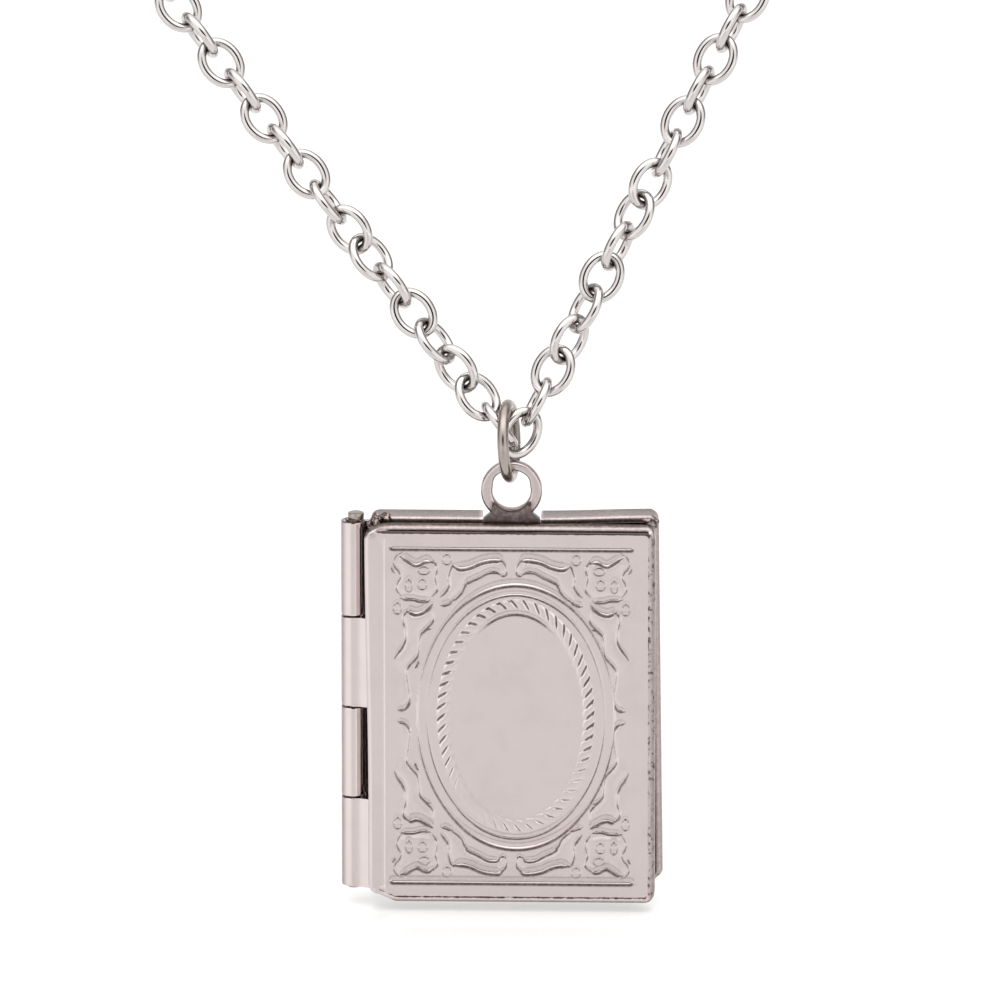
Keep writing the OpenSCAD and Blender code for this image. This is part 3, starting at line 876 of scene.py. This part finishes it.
def leaf_sheet(side, z0, z1, reach_y):
    """The sheet from a knuckle to its cover: side is -1 at the front of the barrel and 1 at its back."""
    outer = [(HINGE_X - 0.1, HINGE_Y + side * (BARREL_R - 0.01)),
             (HINGE_X + 0.45, HINGE_Y + side * BARREL_R * 0.99),
             (COVER_X0 - 0.15, reach_y + side * 0.3), (COVER_X0 + 0.3, reach_y + side * 0.5)]
    inner = [(COVER_X0 + 0.3, reach_y + side * 0.05), (COVER_X0 - 0.1, HINGE_Y + side * (BARREL_R - 0.3)),
             (HINGE_X + 0.4, HINGE_Y + side * (BARREL_R - 0.34)),
             (HINGE_X, HINGE_Y + side * (BARREL_R - 0.3))]
    points, faces = prism(outer + inner, z0, z1)
    return points, [f[::-1] for f in faces] if side < 0 else faces


def knuckles(which, body, node, name, side, reach_y):
    """Every second knuckle from the top, each with its sheet to the cover or the case."""
    length = BARREL_LEN / KNUCKLES
    parts = []
    darker = []
    spotted = []
    for k in range(which, KNUCKLES, 2):
        high = BARREL_LOW + BARREL_LEN - k * length - KNUCKLE_GAP / 2
        low = high - length + KNUCKLE_GAP
        if k == 0:
            high += TOP_KNUCKLE_TALLER
        barrel = rolled_tube(low, high)
        sheet = leaf_sheet(side, max(low, -HALF_Z + 0.1), min(high, HALF_Z - 0.1), reach_y)
        parts += [barrel, sheet]
        # Painted shade: a knuckle is darker at its sides, more so by the case, and spotted dark by the seams
        # between knuckles
        x, _, z = barrel[0].T
        around = (x - HINGE_X) / BARREL_R
        from_end = np.minimum(z - low, high - z)
        plain = np.zeros(len(sheet[0]))
        darker += [0.55 * smooth((around - 0.72) / 0.25) + 0.5 * smooth((-around - 0.6) / 0.35), plain]
        spotted += [0.62 * (1 - smooth((from_end - 0.03) / 0.05)), plain]
    points, faces = join(parts)
    make(name, points, faces, SILVER, body, node, sharp=35, shade_and_patina=np.concatenate(darker),
         spots_and_shade=np.concatenate(spotted))


def back_shell():
    """The back case: rounded back, side wall and rim, hollow inside, with the slot for the loop's foot."""
    profile = [(6.0, BACK_Y), (2.0, BACK_Y)]
    profile += corner_arc(0.5, BACK_Y, 0, BACK_Y - 0.5, 10, first="x")
    profile += corner_arc(0, BACK_RIM + BACK_SOFT, BACK_SOFT, BACK_RIM, 9)
    profile += corner_arc(WALL - 0.1, BACK_RIM, WALL, BACK_RIM + 0.1, 3, first="x")
    profile += [(WALL, BACK_Y - WALL - 0.2), (WALL + 0.2, BACK_Y - WALL), (6.0, BACK_Y - WALL)]
    points, faces = swept_rect(COVER_X0, BACK_X1, profile)
    faces = faces[:, ::-1].tolist() + caps(len(points) // len(profile), len(points))
    x, y, z = points.T
    taller = BACK_TALLER + BACK_RISE * smooth((x - SLOT_W / 2) / (BACK_X1 - SLOT_W / 2))
    z += taller * smooth(z / HALF_Z)
    right = smooth((x - COVER_X1 + 0.45) / 0.4)
    x -= BACK_LEAN * right * z / HALF_Z
    # The right edge ends above the bottom, in a slanted corner with a notch painted dark as shade
    z += BACK_CUT * right * smooth((-z - HALF_Z + 1.8) / 1.4)
    notch = np.hypot(x - COVER_X1 - 0.2, z + HALF_Z - BACK_CUT - 0.3)
    # Painted shade on the rim's front in the gap between the covers, its rounded edge, the back's top edge
    # and the notch; the gap is spotted dark as shade too, and all of it lightly with tarnish
    front = 1 - smooth((y - BACK_RIM) / 0.06)
    rounded = 1 - smooth((y - BACK_RIM - BACK_SOFT) / 0.06)
    gap_shade = front * (0.42 + 0.38 * (x < COVER_X1 - 0.1))
    shades = [gap_shade, 0.5 * rounded, 0.8 * smooth((y - BACK_Y + 0.6) / 0.1) * (z > HALF_Z - 0.1),
              0.9 * (1 - smooth(notch / 0.3))]
    shell = make("back_shell", points, faces, SILVER, "case", "back_case", shade_and_patina=np.max(shades, 0),
                 spots_and_shade=0.5 * gap_shade + 0.12, sharp=50)
    slot = [(-SLOT_W / 2, BACK_RIM - 1), (SLOT_W / 2, BACK_RIM - 1), (SLOT_W / 2, BACK_Y + 1),
            (-SLOT_W / 2, BACK_Y + 1)]
    cut(shell, *prism(slot, HALF_Z - SLOT_DROP, HALF_Z + 1))


def cut(piece, points, faces):
    """Takes a closed shape, in case millimetres, out of a piece for good."""
    cutter = new_object("cutter", points + np.array(CASE), faces)
    modifier = piece.modifiers.new("cut", "BOOLEAN")
    modifier.operation = "DIFFERENCE"
    modifier.solver = "EXACT"
    modifier.object = cutter
    bpy.context.view_layer.update()
    done = bpy.data.meshes.new_from_object(piece.evaluated_get(bpy.context.evaluated_depsgraph_get()))
    piece.modifiers.clear()
    piece.data = done
    bpy.data.objects.remove(cutter)
    bm = bmesh.new()
    bm.from_mesh(done)
    bmesh.ops.recalc_face_normals(bm, faces=bm.faces)
    bm.to_mesh(done)
    bm.free()
    done.shade_smooth()
    done.set_sharp_from_angle(angle=radians(40))


def back_lip():
    """The inner lip that the front cover closes over."""
    inner = LIP_IN + LIP_T
    profile = [(inner, LIP_BACK), (inner, LIP_Y + 0.1)]
    profile += corner_arc(inner, LIP_Y + 0.1, inner - 0.1, LIP_Y, 4)
    profile += corner_arc(LIP_IN + 0.1, LIP_Y, LIP_IN, LIP_Y + 0.1, 4, first="x")
    profile += [(LIP_IN, LIP_BACK)]
    points, faces = swept_rect(COVER_X0, COVER_X1, profile)
    # Painted shade, darker deeper inside the lip
    depth = smooth((points[:, 1] - LIP_Y) / 0.6)
    make("back_lip", points, faces, SILVER, "case", "back_case", shade_and_patina=depth * 0.8, sharp=50)


def loop_ring():
    """The loop's flat ring, then how near each of its points is to an edge, 0 to 1."""
    section = []
    for k, (sx, sy) in enumerate([(1, 1), (-1, 1), (-1, -1), (1, -1)]):
        for a in angles(90 * k, 90 * k + 90, 5):
            section.append((sx, sy, LOOP_SOFT * cos(a), LOOP_SOFT * sin(a)))
    around = 120
    points = []
    edge = []
    for a in angles(0, 360, around)[:-1]:
        # The hole is as wide as the ring's wire needs at the top, and narrower round the rest
        hole = LOOP_HOLE_R - LOOP_THICKER * (1 - float(smooth((sin(a) - 0.2) / 0.5)))
        for sx, sy, dr, dy in section:
            r = (LOOP_R + hole) / 2 + sx * ((LOOP_R - hole) / 2 - LOOP_SOFT) + dr
            y = LOOP_Y + sy * (LOOP_T / 2 - LOOP_SOFT) + dy
            points.append((cos(a) * r, y, LOOP_Z + sin(a) * r))
            edge.append(abs(dr) / LOOP_SOFT)
    faces = grid_faces(around, len(section), wrap_rows=True)
    return (np.array(points), faces), np.array(edge)


def loop_foot():
    """The foot that spreads from the ring down to the lip."""
    low = HALF_Z - LIP_IN
    left = [(-FOOT_W / 2, low), (-FOOT_W / 2, low + 0.84), (-FOOT_W / 2 + 0.08, low + 1.05),
            (-FOOT_W / 2 + 0.3, low + 1.24), (-FOOT_TOP_W / 2 - 0.12, low + 1.45),
            (-FOOT_TOP_W / 2, LOOP_Z - LOOP_HOLE_R * 0.75)]
    inner = LOOP_HOLE_R - LOOP_THICKER + 0.2
    left += [(-inner * sin(a), LOOP_Z - inner * cos(a)) for a in map(radians, (50, 38, 26, 13, 0))]
    outline = left + [(-x, z) for x, z in left[-2::-1]]
    half = LOOP_T / 2 + 0.012
    rows = [(FOOT_SOFT, -half), (0.0, -half + FOOT_SOFT), (0.0, half - FOOT_SOFT), (FOOT_SOFT, half)]
    points = [(x - copysign(inset, x), LOOP_Y + y, z) for inset, y in rows for x, z in outline]
    faces = grid_faces(len(rows), len(outline)).tolist()
    return np.array(points), faces + caps(len(outline), len(points))


def hanging_loop():
    """A flat ring with soft edges on a foot that spreads down to the lip."""
    ring, near_edge = loop_ring()
    foot = loop_foot()
    points, faces = join([ring, foot])
    on_foot = len(foot[0])
    # The ring is a little grey all over, with painted shade towards its soft edges, and the foot is painted
    # dark as the shade in the slot
    darkening = np.concatenate([0.18 + 0.3 * near_edge ** 2, np.full(on_foot, 0.7)])
    edge = np.concatenate([near_edge, np.zeros(on_foot)])
    # Painted shade: the foot and the ring's lower part are darker, with a dark line round the hole's bright
    # wall
    from_middle = np.hypot(points[:, 0], points[:, 2] - LOOP_Z)
    inner = smooth((LOOP_R - from_middle) / (LOOP_R - LOOP_HOLE_R))
    from_wall = from_middle - LOOP_HOLE_R + LOOP_THICKER
    low_part = 1 - smooth((points[:, 2] - HALF_Z - 0.8 - 0.6 * inner) / 0.5)
    low_part *= smooth((from_wall - 0.05) / 0.04)
    arc = low_part * (1 - smooth((from_wall - LOOP_SOFT - 0.01) / 0.02))
    arc[len(ring[0]):] = 0
    # Spots: light tarnish all over, and painted shade on the lower part, the edges and the line round the
    # hole
    make("hanging_loop", points, faces, SILVER, "case", "back_case",
         shade_and_patina=np.maximum(darkening, low_part * 0.84 + arc * 0.16),
         spots_and_shade=0.18 + 0.27 * low_part + 0.3 * edge + 0.5 * arc, sharp=40)


def solder(name, lobes, shade_and_patina, spots_and_shade):
    """A small lump of solder at a corner of the case."""
    rows, cols = 14, 20
    parts = []
    for n, (middle, size) in enumerate(lobes):
        points = []
        for i in range(rows):
            v = pi * (i + 0.5) / rows
            for a in angles(0, 360, cols)[:-1]:
                bump = 1 + 0.12 * sin(3 * a + 2 * v + n) + 0.1 * sin(5 * v - a + 2 * n)
                way = (sin(v) * cos(a), sin(v) * sin(a), cos(v))
                points.append([m + s * bump * w for m, s, w in zip(middle, size, way)])
        parts.append((points, grid_faces(rows, cols).tolist() + caps(cols, rows * cols)))
    points, faces = join(parts)
    make(name, points, faces, SILVER, "case", "back_case", shade_and_patina=shade_and_patina, spots_and_shade=spots_and_shade)


def hinge_flange():
    """The narrow strip of the back case that closes the view between the barrel and the covers, painted dark
    as the shade in that gap and lighter at its outer edge.
    """
    x0, x1 = COVER_X0 - 0.42, COVER_X0 + 0.2
    y0, y1 = BACK_RIM + 0.25, BACK_RIM + 0.9
    outline = [(x0, y0 + 0.15), (x0 + 0.15, y0), (x1, y0), (x1, y1), (x0 + 0.15, y1), (x0, y1 - 0.15)]
    points, faces = prism(outline, BARREL_LOW + 0.3, BARREL_LOW + BARREL_LEN - 0.3)
    darker = np.where(points[:, 0] < x0 + 0.1, 0.3, 0.85)
    make("hinge_flange", points, faces, SILVER, "case", "back_case", shade_and_patina=darker, sharp=30)


def hinge_pin():
    """The pin with its flat head on top."""
    low = BARREL_LOW - 0.15
    high = BARREL_LOW + BARREL_LEN + TOP_KNUCKLE_TALLER + 0.02
    profile = [(0.0, low), (PIN_R - 0.08, low), (PIN_R, low + 0.08), (PIN_R, high)]
    top = high + PIN_HEAD_H
    profile += [(PIN_HEAD_R - 0.05, high), (PIN_HEAD_R - 0.02, high + 0.05), (PIN_HEAD_R, top - 0.1),
                (PIN_HEAD_R - 0.02, top - 0.03), (PIN_HEAD_R - 0.09, top), (0.0, top)]
    steps = 40
    points, faces = lathe(profile, (HINGE_X, HINGE_Y, 0), (0, 0, 1), steps)
    points[4 * steps:, 0] += PIN_HEAD_ASIDE
    make("hinge_pin_round", points, faces, NICKEL, "case", "hinge_pin", sharp=35)


def jump_ring():
    """A round wire ring with its butted seam."""
    centre = Vector(joints["ring_swing"]["pos_m"]) / MM
    axis = Vector(joints["ring_swing"]["axis"]).normalized()
    turn = Vector((0, 0, 1)).rotation_difference(axis).to_matrix()
    around = 22
    ends = (SEAM_AT + SEAM_HALF, SEAM_AT + 360 - SEAM_HALF)
    line = [(RING_R * cos(a), RING_R * sin(a), 0) for a in angles(*ends, 150)]
    points, faces = tube(line, RING_WIRE / 2, around, closed=False)
    faces = faces.tolist() + caps(around, len(points))
    points = points @ np.array(turn).T
    # Painted shade, darker towards the ring's back
    make("jump_ring_wire", points, faces, NICKEL, "ring", "jump_ring", sharp=50, origin=centre,
         shade_and_patina=0.3 * smooth(points[:, 1] / RING_R))


def node_islands(node):
    """The points of each separate solid of a CAD node, in millimetres."""
    mesh = frame["nodes"][node].data
    co = np.zeros(len(mesh.vertices) * 3)
    mesh.vertices.foreach_get("co", co)
    co = co.reshape(-1, 3) / MM
    keys, ids = np.unique(np.round(co, 4), axis=0, return_inverse=True)
    ids = ids.ravel()
    edges = np.zeros(len(mesh.edges) * 2, int)
    mesh.edges.foreach_get("vertices", edges)
    ends = ids[edges.reshape(-1, 2)]
    # Each point takes the lowest number that it is joined to, until nothing changes
    label = np.arange(len(keys))
    before = None
    while not np.array_equal(label, before):
        before = label.copy()
        for side in ends.T:
            np.minimum.at(label, side, before[ends].min(1))
        label = label[label]
    return [keys[label == k] for k in np.unique(label)]


def own_frame(points):
    """Middle and axes of a cloud of points, from its longest side to its shortest."""
    middle = points.mean(0)
    for _ in range(2):
        _, _, axes = np.linalg.svd(points - middle, full_matrices=False)
        spread = (points - middle) @ axes.T
        middle = middle + ((spread.max(0) + spread.min(0)) / 2) @ axes
    if np.linalg.det(axes) < 0:
        axes[2] *= -1
    return middle, axes


def link_shape():
    """One oval link about its own middle, long along x in the xy plane, and how much darker each point is, on
    the inside of its ends.
    """
    around = 16
    line = oval(LINK_L / 2, LINK_W / 2, 36)
    points, faces = tube(line, LINK_WIRE / 2, around)
    middles = np.repeat(np.array(line), around, axis=0)
    outwards = middles / np.linalg.norm(middles, axis=1)[:, None]
    inwards = -((points - middles) * outwards).sum(1) / (LINK_WIRE / 2)
    at_end = smooth((np.abs(middles[:, 0]) - LINK_L * 0.3) / (LINK_L * 0.15))
    return points, faces, 0.85 * smooth((inwards - 0.1) / 0.6) * at_end


def chain(node, name):
    """A strand: an oval link in the place of each of the node's solids."""
    points, faces, darker = link_shape()
    frames = [own_frame(island) for island in node_islands(node)]
    joined, faces = join([(points @ axes + middle, faces) for middle, axes in frames])
    make(name, joined, faces, BRIGHT, "chain", node, origin=(0, 0, 0),
         shade_and_patina=np.tile(darker, len(frames)))


def clasp():
    """The clasp: a smooth barrel with a round eye at each end."""
    island = node_islands("clasp")[0]
    middle, axes = own_frame(island)
    reach = ((island - middle) @ axes[0]).max() - EYE_R - EYE_WIRE / 2
    body = reach - EYE_R - 0.1
    half = [(0.0, -body)]
    half += [(CLASP_R * (0.3 + 0.7 * sin(a)), -body + CLASP_NOSE * (1 - cos(a)))
             for a in angles(0, 90, 12)]
    waist = CLASP_R * CLASP_WAIST
    half += [(CLASP_R, -1.2), (waist, -1.1), (waist, -0.9), (CLASP_R, -0.8)]
    parts = [lathe(half + [(r, -d) for r, d in half[::-1]], middle, axes[0], 48)]
    for k in (-1, 1):
        at = middle + axes[0] * reach * k
        end = island[(island - at) @ axes[0] * k > 0.3]
        _, plane = own_frame(end)
        points, faces = tube(oval(EYE_R, EYE_R, 48), EYE_WIRE / 2, 14)
        parts.append((points @ plane + at, faces))
    points, faces = join(parts)
    make("clasp_body", points, faces, BRIGHT, "chain", "clasp", sharp=40, origin=(0, 0, 0))


# Stage

def floor():
    """A pale floor a little below the case, softly bright of itself."""
    material, _, shader = new_material("pale_floor")
    shader.inputs["Base Color"].default_value = FLOOR_COLOUR
    shader.inputs["Emission Color"].default_value = FLOOR_GLOW_TINT
    shader.inputs["Emission Strength"].default_value = FLOOR_GLOW
    shader.inputs["Roughness"].default_value = FLOOR_ROUGH
    low = CASE.z - HALF_Z - FLOOR_GAP
    corners = [(x * FLOOR_HALF, y * FLOOR_HALF, low) for x, y in ((-1, -1), (1, -1), (1, 1), (-1, 1))]
    piece = new_object("floor", corners, [[0, 1, 2, 3]])
    piece.data.materials.append(material)


def direction(azimuth, elevation):
    """The unit vector from the case towards a viewer at those angles, in degrees."""
    a, e = radians(azimuth), radians(elevation)
    return Vector((sin(a) * cos(e), -cos(a) * cos(e), sin(e)))


def studio():
    """A white tent with the dark opening that such a picture is taken through, and greyer sides."""
    world = bpy.data.worlds.new("studio")
    bpy.context.scene.world = world
    world.use_nodes = True
    graph = Graph(world.node_tree)
    ray = graph.add("TexCoord", {}).outputs["Generated"]
    x, y, z = graph.add("SeparateXYZ", {0: ray}).outputs
    # The opening: dark inside an oval of directions round the one that the picture is taken from
    elevation = graph.math("ARCSINE", z)
    azimuth = graph.math("ARCTAN2", x, graph.math("MULTIPLY", y, -1.0))
    squares = []
    for angle, middle, half in ((elevation, OPENING_EL, OPENING_HALF_EL),
                                (azimuth, CAMERA_AZ, OPENING_HALF_AZ)):
        off = graph.math("DIVIDE", graph.math("SUBTRACT", angle, radians(middle)), radians(half))
        squares.append(graph.math("POWER", off, 2.0))
    radius = graph.math("SQRT", graph.math("ADD", *squares))
    opening = graph.ranged(radius, *OPENING_EDGE, 0.0, 1.0)
    # Brightness by the angle from the front: bright before the case, grey at its sides, fair behind it
    front = graph.add("VectorMath", {0: ray, 1: direction(CAMERA_AZ, CAMERA_EL)}, operation="DOT_PRODUCT")
    angle = graph.math("ARCCOSINE", front.outputs["Value"])
    ahead = graph.ranged(angle, *map(radians, FRONT_ENDS), SKY_FRONT, SKY_SIDE)
    behind = graph.ranged(angle, *map(radians, BACK_BEGINS), 0.0, SKY_BACK - SKY_SIDE)
    overhead = graph.ranged(z, *TOP_BEGINS, 0.0, SKY_TOP)
    light = graph.math("ADD", graph.math("ADD", ahead, behind), overhead)
    light = graph.math("MAXIMUM", graph.math("MULTIPLY", light, opening), SKY_LEAST)
    # Seen directly, the tent is white all over
    camera_ray = graph.add("LightPath", {}).outputs["Is Camera Ray"]
    background = graph.nodes["Background"]
    graph.link(graph.math("MAXIMUM", light, camera_ray), background.inputs["Strength"])
    background.inputs["Color"].default_value = SKY_TINT


def camera():
    """The camera at the photograph's angle, far away, with the picture's width across the case."""
    data = bpy.data.cameras.new("camera")
    data.lens = data.sensor_width * CAMERA_FAR / PICTURE_W
    back = direction(CAMERA_AZ, CAMERA_EL)
    right = Vector((cos(radians(CAMERA_AZ)), sin(radians(CAMERA_AZ)), 0))
    up = back.cross(right)
    aim = CASE + right * AIM_RIGHT + up * AIM_UP
    piece = bpy.data.objects.new("camera", data)
    bpy.context.scene.collection.objects.link(piece)
    piece.location = (aim + back * CAMERA_FAR) * MM
    piece.rotation_euler = back.to_track_quat("Z", "Y").to_euler()
    data.clip_end = 100
    bpy.context.scene.camera = piece


camera()
studio()
floor()
bpy.context.scene.view_settings.view_transform = "Standard"
cover_field("cover_field_top", RELIEF_Z, HALF_Z - FIELD_INSET)
cover_field("cover_field_bottom", -HALF_Z + FIELD_INSET, RELIEF_Z)
medallion()
cover_shell()
knuckles(1, "cover", "front_cover", "cover_knuckles", -1, FRONT_RIM)
back_shell()
back_lip()
knuckles(0, "case", "back_case", "back_knuckles", 1, BACK_RIM)
hanging_loop()
solder("corner_lug", LUG_LOBES, 0.45, 0.66)
solder("corner_seam", SEAM_LOBES, 0.7, 0.62)
hinge_flange()
hinge_pin()
jump_ring()
chain("chain_left", "links_left")
chain("chain_right", "links_right")
clasp()
